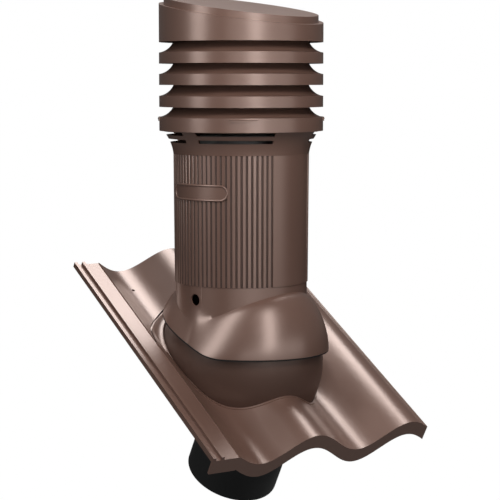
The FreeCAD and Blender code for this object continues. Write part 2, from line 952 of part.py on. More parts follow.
def flute_angles():
    """The flutes' places on both sides of the pipe, clear of the plain front and rear."""
    span = 180 - 2 * float(size.plain_half)
    count = round(span / float(size.flute_step))
    first = 90 - (count - 1) / 2 * float(size.flute_step)
    one_side = [first + number * float(size.flute_step) for number in range(count)]
    return one_side + [-angle for angle in one_side]


def capsule(name, width, height, depth):
    """A capsule-shaped block that reaches out to the left of the pipe."""
    half = height / 2
    straight = width - height
    ends = []
    for side in (-1, 1):
        end = bind(doc.addObject("Part::Cylinder", f"{name}_end_{side + 2}"), Radius=half, Height=depth)
        end.Placement = FreeCAD.Placement(
            FreeCAD.Vector(0, side * float(straight) / 2, 0), FreeCAD.Rotation(ALONG, -90)
        )
        ends.append(end)
    middle = box(f"{name}_middle", depth, straight, height, x=-depth, y=-straight / 2, z=-half)
    block = fuse(name, [*ends, middle])
    block.Placement = TURN.multiply(
        FreeCAD.Placement(
            RISE * float(size.badge_level), FreeCAD.Rotation(RISE, 90 - float(size.badge_angle))
        )
    )
    return block


def outer_pipe():
    """The fluted pipe with its blank badge."""
    wall = size.wall
    barrel = turned(
        "barrel",
        [
            (pipe_reach(size.pipe_bottom, wall), size.pipe_bottom),
            (size.pipe_radius, size.pipe_bottom),
            (size.pipe_top_radius, size.pipe_top),
            (pipe_reach(size.pipe_top, wall), size.pipe_top),
        ],
    )
    flutes = solid("flutes", Part.makeCompound([flute_cutter(angle) for angle in flute_angles()]), TURN)
    fluted = cut("fluted", barrel, [flutes])
    outer = pipe_reach(size.badge_level)
    shell = turned(
        "badge_shell",
        [
            (outer - wall / 2, size.badge_level - size.badge_height),
            (outer + size.badge_rise, size.badge_level - size.badge_height),
            (outer + size.badge_rise, size.badge_level + size.badge_height),
            (outer - wall / 2, size.badge_level + size.badge_height),
        ],
    )
    reach = size.ring_radius
    badge = common("badge", shell, capsule("badge_block", size.badge_width, size.badge_height, reach))
    field_shell = turned(
        "field_shell",
        [
            (outer + size.badge_rise / 2, size.badge_level - size.badge_height),
            (outer + 2 * size.badge_rise, size.badge_level - size.badge_height),
            (outer + 2 * size.badge_rise, size.badge_level + size.badge_height),
            (outer + size.badge_rise / 2, size.badge_level + size.badge_height),
        ],
    )
    rim = 2 * size.badge_rim
    field = common(
        "field",
        field_shell,
        capsule("field_block", size.badge_width - rim, size.badge_height - rim, reach),
    )
    keep("outer_pipe", cut("pipe_cut", fuse("pipe_whole", [fluted, badge]), [field]))


def insulation():
    """The foam sleeve between the ducts and the ring that covers it."""
    for label, low, high in (
        ("insulation_sleeve", size.sleeve_bottom, size.cover_level),
        ("sleeve_cover", size.cover_level, size.cover_level + size.wall),
    ):
        outline = [
            (size.inner_radius, low),
            (pipe_reach(low, size.wall), low),
            (pipe_reach(high, size.wall), high),
            (size.inner_radius, high),
        ]
        keep(label, turned(f"{label}_body", outline))


def slot(name, level, height, start, end):
    """A sector block that cuts one slot; angles run from the front towards the left."""
    return cylinder(name, size.ring_radius, height, TURN, z=level, turn=270 - end, arc=end - start)


def slotted_collar():
    """The flared collar with two rows of drain slots and the floor of the head."""
    wall = size.wall
    foot = size.pipe_top
    spigot_outer = pipe_reach(size.pipe_top, wall) - size.collar_play
    floor_top = size.collar_top + size.collar_floor
    ring_inside = size.ring_radius - wall
    outline = [
        (spigot_outer - wall, foot - size.collar_spigot),
        (spigot_outer, foot - size.collar_spigot),
        (spigot_outer, foot),
        (size.pipe_top_radius, foot, size.collar_bend, -1),
        (size.collar_top_radius, size.collar_top),
        (ring_inside, size.collar_top),
        (ring_inside, floor_top),
        (size.floor_radius, floor_top),
        (size.floor_radius, size.collar_top),
        (size.collar_top_radius - wall, size.collar_top, size.collar_bend, 1),
        (spigot_outer - wall, foot),
    ]
    collar = turned("collar", outline)
    slots = []
    rows = (
        (size.slot_upper, size.slot_upper_height),
        (size.slot_lower, size.slot_lower_height),
    )
    spans = (
        (size.slot_start, size.slot_split),
        (size.slot_resume, size.slot_end),
        (360 - size.slot_split, 360 - size.slot_start),
        (360 - size.slot_end, 360 - size.slot_resume),
    )
    for row_number, (level, height) in enumerate(rows):
        for span_number, (start, end) in enumerate(spans):
            slots.append(slot(f"slot_{row_number}_{span_number}", level, height, start, end))
    keep("slotted_collar", cut("collar_cut", collar, slots))


def ring_outline(level, band):
    """A louvre ring's section: band, cove and the lip that stands inside the ring above."""
    wall = size.wall
    neck = size.ring_neck
    cove_top = level + band + size.ring_flare
    return [
        (size.ring_radius - wall, level),
        (size.ring_radius, level),
        (size.ring_radius, level + band, size.ring_bend, -1),
        (neck, cove_top),
        (neck, cove_top + size.ring_lip),
        (neck - wall, cove_top + size.ring_lip),
        (neck - wall, cove_top, size.ring_bend + wall, 1),
        (size.ring_radius - wall, level + band - wall),
    ]


def louvre_rings():
    """Four louvre rings; the lowest is taller and has four small tabs."""
    levels = (size.ring_1_level, size.ring_2_level, size.ring_3_level)
    for number, level in enumerate(levels, start=1):
        keep(f"louvre_ring_{number}", turned(f"ring_{number}", ring_outline(level, size.band_height)))
    low_band = size.low_band_height
    low_ring = turned("ring_4", ring_outline(size.collar_top, low_band))
    tabs = []
    for number in range(4):
        tabs.append(
            cylinder(
                f"tab_{number}",
                size.ring_radius + size.tab_rise,
                size.tab_height,
                TURN,
                z=size.collar_top + low_band - size.tab_height,
                turn=45 + 90 * number - float(size.tab_arc) / 2,
                arc=size.tab_arc,
            )
        )
    core = cylinder(
        "tab_core", size.ring_radius - size.wall / 2, REACH, TURN, z=size.collar_top - size.wall
    )
    tab_ring = cut("tab_ring", fuse("tabs", tabs), [core])
    keep("louvre_ring_4", fuse("ring_4_whole", [low_ring, tab_ring]))


def slanted(name, lift, depth):
    """A big block over the cap's slanted plane, lifted square to it."""
    block = box(name, 2 * REACH, 2 * REACH, depth)
    level = float(size.cap_bottom) + float(size.cap_height)
    slope = FreeCAD.Rotation(ACROSS, float(size.cap_slope))
    corner = FreeCAD.Vector(-REACH, -REACH, float(lift))
    block.Placement = TURN.multiply(
        FreeCAD.Placement(RISE * level, slope).multiply(
            FreeCAD.Placement(corner, FreeCAD.Rotation())
        )
    )
    return block


def louvre_posts():
    """Four posts that stand on the collar's floor, carry the rings and hold up the cap."""
    inner = size.ring_neck - size.wall
    floor_top = size.collar_top + size.collar_floor
    for number in range(4):
        bar = box(
            f"post_bar_{number}",
            size.ring_radius - size.floor_radius,
            size.post_width,
            2 * (size.cap_bottom - floor_top),
        )
        offset = FreeCAD.Vector(
            float(size.floor_radius + size.post_setback),
            -float(size.post_width) / 2,
            float(floor_top),
        )
        heading = FreeCAD.Rotation(RISE, 45 + 90 * number)
        bar.Placement = TURN.multiply(
            FreeCAD.Placement(ORIGIN, heading).multiply(
                FreeCAD.Placement(offset, FreeCAD.Rotation())
            )
        )
        form = cylinder(f"post_form_{number}", inner, 2 * size.cap_bottom, TURN)
        post = common(f"post_round_{number}", bar, form)
        above = slanted(f"above_post_{number}", -size.wall, REACH)
        keep(f"louvre_post_{number + 1}", cut(f"post_cut_{number}", post, [above]))


def cap():
    """The cap's slanted drum and the lid that lies on it."""
    tall = 2 * size.cap_height
    drum = cylinder("drum", size.ring_radius, tall, TURN, z=size.cap_bottom)
    above = slanted("above_drum", 0, REACH)
    outside = cut("drum_outside", drum, [above])
    hollow = cylinder("hollow", size.ring_radius - size.wall, tall, TURN, z=size.cap_bottom)
    above_hollow = slanted("above_hollow", -size.wall, REACH)
    inside = cut("drum_inside", hollow, [above_hollow])
    keep("cap_drum", cut("cap_cut", outside, [inside]))
    disc = cylinder("disc", size.ring_radius - size.lid_inset, 3 * size.cap_height, TURN, z=size.cap_bottom)
    slab = slanted("lid_slab", 0, size.lid_rise)
    keep("cap_lid", common("lid", disc, slab))


def check_document():
    """Stop if any object has failed or any piece is empty or broken."""
    doc.recompute()
    faults = []
    for thing in doc.Objects:
        if "Invalid" in thing.State or "Error" in thing.State:
            faults.append(f"{thing.Label} has failed")
    for label, thing in pieces.items():
        if thing.Shape.isNull() or not thing.Shape.isValid() or not thing.Shape.Solids:
            faults.append(f"{label} has no sound shape")
    if faults:
        raise RuntimeError("; ".join(faults))


def write_pieces():
    """Write each piece to a file of its own."""
    os.makedirs("parts", exist_ok=True)
    for label, thing in pieces.items():
        thing.Shape.exportStep(f"parts/{label}.step")
        print(label, len(thing.Shape.Solids), round(thing.Shape.Volume), thing.Shape.BoundBox)


tile_plate()
dome_gasket()
ball_dome()
duct_carrier()
flange_screws()
lower_duct()
socket_ring()
ball_seal()
inner_duct()
hood_shell()
outer_pipe()
insulation()
slotted_collar()
louvre_rings()
louvre_posts()
cap()
check_document()
write_pieces()
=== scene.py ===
import json
import math

import bmesh
import bpy
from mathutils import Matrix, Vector


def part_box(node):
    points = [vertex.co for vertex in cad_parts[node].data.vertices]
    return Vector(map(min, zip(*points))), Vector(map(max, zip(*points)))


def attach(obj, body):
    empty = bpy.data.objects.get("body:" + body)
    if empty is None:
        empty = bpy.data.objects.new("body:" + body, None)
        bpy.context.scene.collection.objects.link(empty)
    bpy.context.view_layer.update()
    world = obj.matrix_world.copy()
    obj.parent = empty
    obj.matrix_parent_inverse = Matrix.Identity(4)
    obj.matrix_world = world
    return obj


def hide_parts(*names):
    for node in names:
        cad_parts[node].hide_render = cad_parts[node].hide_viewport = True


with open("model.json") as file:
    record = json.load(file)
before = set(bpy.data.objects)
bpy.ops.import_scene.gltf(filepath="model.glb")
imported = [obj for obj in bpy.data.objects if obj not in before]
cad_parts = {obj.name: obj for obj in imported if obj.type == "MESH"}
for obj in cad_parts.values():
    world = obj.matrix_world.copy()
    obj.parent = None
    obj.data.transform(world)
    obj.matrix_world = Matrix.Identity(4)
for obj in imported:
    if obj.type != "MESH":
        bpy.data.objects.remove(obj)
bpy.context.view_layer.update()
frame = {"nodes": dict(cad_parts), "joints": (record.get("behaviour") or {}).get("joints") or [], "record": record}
nodes = frame["nodes"]
record = frame["record"]

MM = 0.001


def put(tree, place, value):
    """Set a socket, or link to it."""
    if isinstance(value, Link):
        tree.links.new(value.socket, place)
    else:
        place.default_value = value


class Link:
    """A socket that can be written in sums; an expression adds Math nodes to its tree."""

    def __init__(self, tree, socket):
        self.tree = tree
        self.socket = socket

    def maths(self, operation, first, second):
        node = self.tree.nodes.new("ShaderNodeMath")
        node.operation = operation
        put(self.tree, node.inputs[0], first)
        put(self.tree, node.inputs[1], second)
        return Link(self.tree, node.outputs[0])

    def __add__(self, other):
        return self.maths("ADD", self, other)

    def __radd__(self, other):
        return self.maths("ADD", other, self)

    def __mul__(self, other):
        return self.maths("MULTIPLY", self, other)

    def __rmul__(self, other):
        return self.maths("MULTIPLY", other, self)


class Tree:
    """A node tree that is put together node by node, round the shader it starts with."""

    def __init__(self, tree, shader):
        self.tree = tree
        self.shader = tree.nodes[shader]

    def node(self, kind, settings=None, output=0, sockets=None, **values):
        """Add a node; its settings come first, then the values or links of its sockets."""
        made = self.tree.nodes.new(kind)
        for name, value in (settings or {}).items():
            setattr(made, name, value)
        for key, value in {**values, **(sockets or {})}.items():
            put(self.tree, made.inputs[key], value)
        return Link(self.tree, made.outputs[output])

    def feed(self, name, value):
        """Set a socket of the shader, or link to it."""
        put(self.tree, self.shader.inputs[name], value)

    def cover(self, share, other, out):
        """Show another shader in place of the tree's own, by a share, at its output node."""
        own = Link(self.tree, self.shader.outputs[0])
        mixed = self.node("ShaderNodeMixShader", sockets={0: share, 1: own, 2: other})
        put(self.tree, self.tree.nodes[out].inputs[0], mixed)


class Finish(Tree):
    """A material and its node tree."""

    def __init__(self, name):
        self.material = bpy.data.materials.new(name)
        self.material.use_nodes = True
        super().__init__(self.material.node_tree, "Principled BSDF")


# Finishes; the last row names the Mix node's sockets for colours

CLOUD_SCALE = 14.0
CLOUD_DEPTH = 0.06
GRAIN_SCALE = 900.0
GRAIN_DEPTH = 0.2 * MM
GLOSS_SPREAD = 0.05
MIX_FACTOR, MIX_FIRST, MIX_SECOND, MIX_RESULT = 0, 6, 7, 2


def linear(red, green, blue):
    """A colour given as it looks on screen, from 0 to 255."""
    shares = [value / 255 for value in (red, green, blue)]
    return tuple(
        share / 12.92 if share <= 0.04045 else ((share + 0.055) / 1.055) ** 2.4
        for share in shares
    )


def dim(colour, share):
    """The same colour, darker or lighter."""
    return tuple(part * share for part in colour)


def moulded(name, colour, roughness, grain=0.25, tint=(1, 1, 1), sheen=0.5, refraction=1.5):
    """Moulded plastic: a fine grain, faint clouds in the colour and an uneven gloss."""
    finish = Finish(name)
    place = finish.node("ShaderNodeTexCoord", output="Object")
    clouds = finish.node("ShaderNodeTexNoise", Vector=place, Scale=CLOUD_SCALE, Detail=3.0)
    fine = finish.node("ShaderNodeTexNoise", Vector=place, Scale=GRAIN_SCALE, Detail=2.0)
    cloudy = finish.node(
        "ShaderNodeMix",
        {"data_type": "RGBA"},
        output=MIX_RESULT,
        sockets={
            MIX_FACTOR: clouds,
            MIX_FIRST: (*dim(colour, 1 - CLOUD_DEPTH), 1),
            MIX_SECOND: (*dim(colour, 1 + CLOUD_DEPTH), 1),
        },
    )
    finish.feed("Base Color", cloudy)
    finish.feed("Roughness", roughness - GLOSS_SPREAD / 2 + clouds * GLOSS_SPREAD)
    bump = finish.node("ShaderNodeBump", Strength=grain, Distance=GRAIN_DEPTH, Height=fine)
    finish.feed("Normal", bump)
    finish.feed("Specular Tint", (*tint, 1))
    finish.feed("Specular IOR Level", sheen)
    finish.feed("IOR", refraction)
    return finish.material


BROWN = linear(90, 67, 58)
WARM = (1.0, 0.8, 0.72)

brown_plastic = moulded(
    "brown_moulded_plastic", BROWN, 0.32, grain=0.1, tint=WARM, sheen=1.0, refraction=1.7
)
# The dome's plastic is a darker copy of the brown: painted shade for the shade under the hood and over the tile.
dome_painted_shade_plastic = moulded("painted_shade_moulded_plastic", dim(BROWN, 0.55), 0.4, tint=WARM, sheen=0.6)
# A darker copy of the brown for the bottoms of the flutes: painted shade in the grooves.
groove_painted_shade_plastic = moulded("painted_shade_groove_plastic", dim(BROWN, 0.45), 0.5)
# Black rubber for the rubber parts, also used for the lip that paints the shadow under the hood's rim.
rubber_and_painted_shadow = moulded("black_rubber", linear(10, 10, 10), 0.85)

slot_finishes = {
    "brown_plastic": brown_plastic,
    "dark_plastic": moulded("dark_moulded_plastic", dim(BROWN, 0.5), 0.5),
    "black_plastic": moulded("black_moulded_plastic", linear(7, 8, 8), 0.42),
    "grey_plastic": moulded("grey_duct_plastic", linear(120, 120, 118), 0.5),
    "foam": moulded("light_foam", linear(196, 188, 160), 0.9, grain=0.8),
    "black_rubber": rubber_and_painted_shadow,
    "steel": moulded("screw_steel", linear(170, 170, 168), 0.35),
}
for part in record["subparts"]:
    piece = nodes[part["node"]]
    piece.data.materials.clear()
    piece.data.materials.append(slot_finishes[part["material_slot"]])
# The dome takes the darker copy of the brown, which paints its shade.
nodes["ball_dome"].data.materials[0] = dome_painted_shade_plastic


# Mesh helpers, round the upright axis of the chimney

roof_normal = next(mount["axis"] for mount in record["mounts"] if mount["name"] == "roof_seat")
PITCH = math.atan2(-roof_normal[1], roof_normal[2])
tilt_axis = frame["joints"][0]["axis"]
TURN = math.atan2(tilt_axis[1], tilt_axis[0])
FRONT = 270
CLOSEST = 0.02 * MM
NODE_SHARP = 30
PIECE_SHARP = 35
HOOD_SHARP = 28


def around(degrees, reach, level):
    """A place round the chimney, at an angle from its front towards its left."""
    heading = math.radians(FRONT - degrees) + TURN
    return (reach * math.cos(heading), reach * math.sin(heading), level)


def skin(name, outlines, closed=True):
    """A closed mesh from outlines in a row, each joined to the next; an open row gets end caps."""
    tall = len(outlines[0])
    corners = [corner for outline in outlines for corner in outline]
    faces = []
    for here in range(len(outlines) if closed else len(outlines) - 1):
        first = here * tall
        second = (here + 1) % len(outlines) * tall
        for low in range(tall):
            high = (low + 1) % tall
            faces.append((first + low, second + low, second + high, first + high))
    if not closed:
        faces.append(tuple(range(tall)))
        faces.append(tuple(len(corners) - tall + place for place in range(tall)))
    mesh = bpy.data.meshes.new(name)
    mesh.from_pydata(corners, [], faces)
    shape = bmesh.new()
    shape.from_mesh(mesh)
    bmesh.ops.recalc_face_normals(shape, faces=shape.faces)
    shape.to_mesh(mesh)
    shape.free()
    piece = bpy.data.objects.new(name, mesh)
    bpy.context.scene.collection.objects.link(piece)
    return piece


def carve(piece, tools, operation="DIFFERENCE"):
    """Cut tools out of a piece, or join them to it; the tools are used up."""
    for tool in tools:
        change = piece.modifiers.new(tool.name, "BOOLEAN")
        change.operation = operation
        change.solver = "EXACT"
        change.object = tool
    bpy.context.view_layer.update()
    shown = piece.evaluated_get(bpy.context.evaluated_depsgraph_get())
    mesh = bpy.data.meshes.new_from_object(shown)
    piece.modifiers.clear()
    piece.data = mesh
    shape = bmesh.new()
    shape.from_mesh(mesh)
    bmesh.ops.remove_doubles(shape, verts=shape.verts, dist=CLOSEST)
    bmesh.ops.dissolve_degenerate(shape, edges=shape.edges, dist=CLOSEST)
    bmesh.ops.triangulate(shape, faces=[face for face in shape.faces if len(face.verts) > 4])
    bmesh.ops.dissolve_degenerate(shape, edges=shape.edges, dist=CLOSEST)
    shape.to_mesh(mesh)
    shape.free()
    for tool in tools:
        bpy.data.objects.remove(tool)


def smooth(piece, sharp):
    """Shade a piece smooth, apart from edges sharper than an angle."""
    piece.data.shade_smooth()
    piece.data.set_sharp_from_angle(angle=math.radians(sharp))


def dress(piece, node, sharp):
    """Put a finished chimney piece in the place of its plain node."""
    piece.data.materials.clear()
    piece.data.materials.append(brown_plastic)
    smooth(piece, sharp)
    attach(piece, "chimney")
    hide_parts(node)


# The fluted pipe with its blank badge

WALL = 2.5 * MM
PIPE_FOOT, PIPE_TOP = (corner.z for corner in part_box("outer_pipe"))
PIPE_FOOT_REACH = 89.3 * MM
PIPE_TOP_REACH = 90.5 * MM
PIPE_EDGE = 0.3 * MM
FLUTE_STEP = 4.34
FLUTE_ROUND = 1.75 * MM
FLUTE_DEPTH = 1.4 * MM
FLUTE_SPANS = ((20.56, 159.5), (200.5, 333.0))
FLUTE_SHARES = (-1, -0.8, -0.45, 0, 0.45, 0.8, 1)
PLAIN_ANGLES = (0, 5, 10, 15, 165, 171, 177, 183, 189, 195, 338, 343, 349, 354)
GROOVE_SHADE = 0.85 * MM
GROOVE_LIMIT = 2.3 * MM
BADGE_ANGLE = 88.2
BADGE_LEVEL = 227.7 * MM
BADGE_WIDTH = 96.7 * MM
BADGE_HEIGHT = 21.8 * MM
BADGE_BEAD = 1.5 * MM
BEAD_CORNERS = 12
BEAD_TURNS = 12
BEAD_RUNS = 20
FIELD_RISE = 0.3 * MM
FIELD_SINK = 1.7 * MM
FIELD_STEPS = 60
FIELD_SHARE = 0.9999
FIELD_FACE = (1, 0.5, 0, -0.5, -1)
FIELD_BACK = (-1, 1)


def pipe_reach(level):
    """The outer radius of the tapered pipe at a level."""
    share = (level - PIPE_FOOT) / (PIPE_TOP - PIPE_FOOT)
    return PIPE_FOOT_REACH + share * (PIPE_TOP_REACH - PIPE_FOOT_REACH)


def flute_columns():
    """Angles round the pipe with the depth of the flutes there."""
    sunk = FLUTE_ROUND - FLUTE_DEPTH
    half = math.sqrt(FLUTE_ROUND ** 2 - sunk ** 2)
    columns = [(degrees, 0.0) for degrees in PLAIN_ANGLES]
    for first, last in FLUTE_SPANS:
        for number in range(int((last - first) / FLUTE_STEP) + 1):
            middle = first + number * FLUTE_STEP
            for share in FLUTE_SHARES:
                aside = share * half
                depth = math.sqrt(FLUTE_ROUND ** 2 - aside ** 2) - sunk
                columns.append((middle + math.degrees(aside / PIPE_TOP_REACH), depth))
    return sorted(columns)


def badge_corner(along, up, rise):
    """A place on the badge, given along and up from its middle and out from the pipe."""
    reach = pipe_reach(BADGE_LEVEL)
    return around(BADGE_ANGLE + math.degrees(along / reach), reach + rise, BADGE_LEVEL + up)


def badge_bead():
    """The round bead that frames the blank badge."""
    half = BADGE_HEIGHT / 2 - BADGE_BEAD
    straight = BADGE_WIDTH / 2 - BADGE_HEIGHT / 2
    path = []
    for side in (1, -1):
        for step in range(BEAD_TURNS + 1):
            swing = math.radians(side * 90 - step * 180 / BEAD_TURNS)
            path.append((side * straight + half * math.cos(swing), half * math.sin(swing), swing))
        for step in range(1, BEAD_RUNS):
            along = side * straight * (1 - 2 * step / BEAD_RUNS)
            path.append((along, -side * half, math.radians(-90 * side)))
    outlines = []
    for along, up, swing in path:
        outline = []
        for corner in range(BEAD_CORNERS):
            lean = math.radians(corner * 360 / BEAD_CORNERS)
            out = BADGE_BEAD * math.cos(lean)
            rise = BADGE_BEAD * math.sin(lean)
            place = (along + out * math.cos(swing), up + out * math.sin(swing))
            outline.append(badge_corner(*place, rise))
        outlines.append(outline)
    return skin("badge_bead", outlines)


def badge_plate():
    """The smooth field of the blank badge, which covers the flutes."""
    half = BADGE_HEIGHT / 2 - BADGE_BEAD
    end = BADGE_WIDTH / 2 - BADGE_BEAD
    straight = end - half
    outlines = []
    for step in range(FIELD_STEPS + 1):
        along = -end * math.cos(math.pi * step / FIELD_STEPS) * FIELD_SHARE
        rest = max(0.0, abs(along) - straight)
        tall = math.sqrt(half ** 2 - rest ** 2)
        outline = [badge_corner(along, share * tall, FIELD_RISE) for share in FIELD_FACE]
        outline += [badge_corner(along, share * tall, -FIELD_SINK) for share in FIELD_BACK]
        outlines.append(outline)
    return skin("badge_plate", outlines, closed=False)


def fluted_pipe():
    """The outer pipe with a flute every few degrees at both sides, the blank badge, and painted shade in the
    grooves.
    """
    outlines = []
    for degrees, depth in flute_columns():
        profile = (
            (PIPE_FOOT_REACH - depth - PIPE_EDGE, PIPE_FOOT),
            (PIPE_FOOT_REACH - depth, PIPE_FOOT + PIPE_EDGE),
            (PIPE_TOP_REACH - depth, PIPE_TOP - PIPE_EDGE),
            (PIPE_TOP_REACH - depth - PIPE_EDGE, PIPE_TOP),
            (PIPE_TOP_REACH - WALL, PIPE_TOP),
            (PIPE_FOOT_REACH - WALL, PIPE_FOOT),
        )
        outlines.append([around(degrees, *corner) for corner in profile])
    pipe = skin("fluted_pipe", outlines)
    carve(pipe, [badge_plate(), badge_bead()], "UNION")
    dress(pipe, "outer_pipe", PIECE_SHARP)
    # The faces deep in the flutes get the darker copy of the brown: painted shade in the grooves.
    pipe.data.materials.append(groove_painted_shade_plastic)
    for face in pipe.data.polygons:
        sunk = pipe_reach(face.center.z) - math.hypot(face.center.x, face.center.y)
        outward = face.normal.x * face.center.x + face.normal.y * face.center.y > 0
        if outward and GROOVE_SHADE < sunk < GROOVE_LIMIT:
            face.material_index = 1


# The flared collar with its slots

COLLAR_FOOT = 276.0 * MM
COLLAR_TOP = 306.2 * MM
COLLAR_REACH = 104.0 * MM
COLLAR_BEND = 57.0 * MM
COLLAR_SPIGOT = 5.0 * MM
SPIGOT_GAP = 0.2 * MM
FLARE_STEPS = 16
COLLAR_DEGREES = 2
FLOOR_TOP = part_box("slotted_collar")[1].z
FLOOR_HOLE = 78.0 * MM
FLOOR_REACH = 106.5 * MM
SLOT_ROWS = ((300.9 * MM, 305.3 * MM), (291.2 * MM, 295.7 * MM))
SLOT_SPANS = ((21.5, 82.3), (95.3, 161.0), (199.0, 264.7), (277.7, 338.5))
SLOT_INNER = 88 * MM
SLOT_OUTER = 112 * MM
SLOT_STEPS = 24


def flare():
    """The collar's trumpet from its foot to its top, as radii and levels."""
    across = COLLAR_REACH - PIPE_TOP_REACH
    rise = COLLAR_TOP - COLLAR_FOOT
    chord = math.hypot(across, rise)
    off = math.sqrt(COLLAR_BEND ** 2 - chord ** 2 / 4)
    middle = PIPE_TOP_REACH + across / 2 + off * rise / chord
    height = COLLAR_FOOT + rise / 2 - off * across / chord
    first = math.atan2(COLLAR_FOOT - height, PIPE_TOP_REACH - middle)
    last = math.atan2(COLLAR_TOP - height, COLLAR_REACH - middle)
    profile = []
    for step in range(FLARE_STEPS + 1):
        bend = first + (last - first) * step / FLARE_STEPS
        reach = middle + COLLAR_BEND * math.cos(bend)
        profile.append((reach, height + COLLAR_BEND * math.sin(bend)))
    return profile


def slotted_flare():
    """The flared collar with its two rows of slots."""
    outer = flare()
    inner = [(reach - WALL, level) for reach, level in reversed(outer)]
    foot = PIPE_TOP_REACH - WALL
    profile = [
        (foot - WALL, COLLAR_FOOT - COLLAR_SPIGOT),
        (foot - SPIGOT_GAP, COLLAR_FOOT - COLLAR_SPIGOT),
        (foot - SPIGOT_GAP, COLLAR_FOOT),
        *outer,
        (FLOOR_REACH, COLLAR_TOP),
        (FLOOR_REACH, FLOOR_TOP),
        (FLOOR_HOLE, FLOOR_TOP),
        (FLOOR_HOLE, COLLAR_TOP),
        *inner[:-1],
        (foot - WALL, COLLAR_FOOT),
    ]
    rows = []
    for degrees in range(0, 360, COLLAR_DEGREES):
        rows.append([around(degrees, *corner) for corner in profile])
    collar = skin("slotted_flare", rows)
    cutters = []
    for low, high in SLOT_ROWS:
        block = ((SLOT_INNER, low), (SLOT_OUTER, low), (SLOT_OUTER, high), (SLOT_INNER, high))
        for start, end in SLOT_SPANS:
            places = [start + (end - start) * step / SLOT_STEPS for step in range(SLOT_STEPS + 1)]
            outlines = [[around(degrees, *corner) for corner in block] for degrees in places]
            cutters.append(skin("slot_cutter", outlines, closed=False))
    carve(collar, cutters)
    dress(collar, "slotted_collar", PIECE_SHARP)


# The hood with its neck, and the dark lip under its rim that paints the shadow gap

NECK_REACH = 88.0 * MM
NECK_TOP = 105.0 * MM
SPIGOT_REACH = 86.4 * MM
SPIGOT_FOOT = 101.0 * MM
HOOD_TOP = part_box("hood_shell")[1].z
HOLE_LEVEL = 87.0 * MM
HOLE_REACH = 7.7 * MM
HOLE_CORNERS = 40
HOLE_CUT = 100 * MM
STRIP_HALF = 6.72
STRIP_EDGE = 0.25
STRIP_RISE = 0.5 * MM
STRIP_FOOT = 80 * MM
STRIP_FADE = 6 * MM
RIM_LEVEL = 13.5 * MM
RIM_FRONT = 58.0 * MM
RIM_BEND = 100.0 * MM
RIM_SLOPE = math.radians(19.8)
RIM_EDGE = 0.4 * MM
RIM_SEARCH = (5 * MM, 104 * MM)
ARCH_REACH = 61.0 * MM
ARCH_DROP = 20.0 * MM
SIDE_BLEND = 5.0 * MM
BLEND_WIDTH = 11.0
BLEND_TOP = 100 * MM
BLEND_FADE = 30 * MM
HOOD_LEVEL = 14.0 * MM
HOOD_HALF_WIDTH = 108.0 * MM
HOOD_HALF_LENGTH = 125.0 * MM
HOOD_FLARE = 2 * MM
HOOD_FALL = 0.5
HOOD_CROWN = 0.32
HOOD_DEGREES = 1.5
CREASE_SIDE = 48.5 * MM
CREASE_RISE = 47.0 * MM
CREASE_LOWEST = 62.5 * MM
CREASE_TURN = 5.0 * MM
LEAST_STEP = 0.5 * MM
LEAST_SKIRT = 1 * MM
SKIN_ROWS = 24
NECK_ROWS = 8
INNER_ROWS = 20
LIP_HEIGHT = 1.8 * MM
LIP_STEP = 0.8 * MM
LIP_HIDDEN = 0.4 * MM
LIP_INNER = 0.1 * MM
LIP_DEGREES = 2
SEARCH_STEPS = 30


def crease_level(heading):
    """Where the hood meets the neck: low at both sides, high at the front and rear."""
    crease = CREASE_SIDE + CREASE_RISE * abs(math.sin(heading))
    return (crease + CREASE_LOWEST + math.hypot(crease - CREASE_LOWEST, CREASE_TURN)) / 2


def form_reach(heading, level):
    """How far the hood alone reaches at a heading and level."""
    wide = math.cos(heading) / HOOD_HALF_WIDTH
    long = math.sin(heading) / HOOD_HALF_LENGTH
    widest = 1 / math.hypot(wide, long)
    crease = crease_level(heading)
    share = (level - HOOD_LEVEL) / (crease - HOOD_LEVEL)
    if share <= 0:
        return widest - share * HOOD_FLARE
    if share >= 1:
        return NECK_REACH - (level - crease) * HOOD_FALL
    front = abs(math.sin(heading))
    bulge = (1 - share ** (1 + front)) ** (1 - HOOD_CROWN * front)
    return NECK_REACH + (widest - NECK_REACH) * bulge


def held(share):
    """A share kept between 0 and 1."""
    return min(1.0, max(0.0, share))


def hood_reach(degrees, level):
    """The outer skin of hood and neck, blended into one at both sides."""
    form = form_reach(math.radians(FRONT - degrees), level)
    aside = abs((degrees % 180) - 90)
    fade = held((BLEND_TOP - level) / BLEND_FADE)
    soft = SIDE_BLEND * fade * math.exp(-(aside / BLEND_WIDTH) ** 2)
    reach = (form + NECK_REACH + math.sqrt((form - NECK_REACH) ** 2 + soft ** 2)) / 2
    if aside < STRIP_HALF + STRIP_EDGE / 2:
        reach += STRIP_RISE * held((level - STRIP_FOOT) / STRIP_FADE)
    return reach


def under_hood(place):
    """The level of the cut under the hood: the rim's plane and the round way for a crest."""
    x, y, _ = place
    past = -x * math.sin(TURN) + y * math.cos(TURN) + RIM_FRONT
    bend_end = RIM_BEND * math.sin(RIM_SLOPE)
    if past < 0:
        level = RIM_LEVEL
    elif past < bend_end:
        level = RIM_LEVEL + RIM_BEND - math.sqrt(RIM_BEND ** 2 - past ** 2)
    else:
        level = RIM_LEVEL + RIM_BEND * (1 - math.cos(RIM_SLOPE))
        level += (past - bend_end) * math.tan(RIM_SLOPE)
    if abs(x) < ARCH_REACH:
        crown = math.sqrt(ARCH_REACH ** 2 - x ** 2) - ARCH_DROP
        level = max(level, (crown + y * math.sin(PITCH)) / math.cos(PITCH))
    return level


def rim_level(degrees, inset):
    """The level of the rim at an angle, on a skin that is set in from the outer one."""
    low, high = RIM_SEARCH
    for _ in range(SEARCH_STEPS):
        middle = (low + high) / 2
        if middle > under_hood(around(degrees, hood_reach(degrees, middle) - inset, middle)):
            high = middle
        else:
            low = middle
    return high


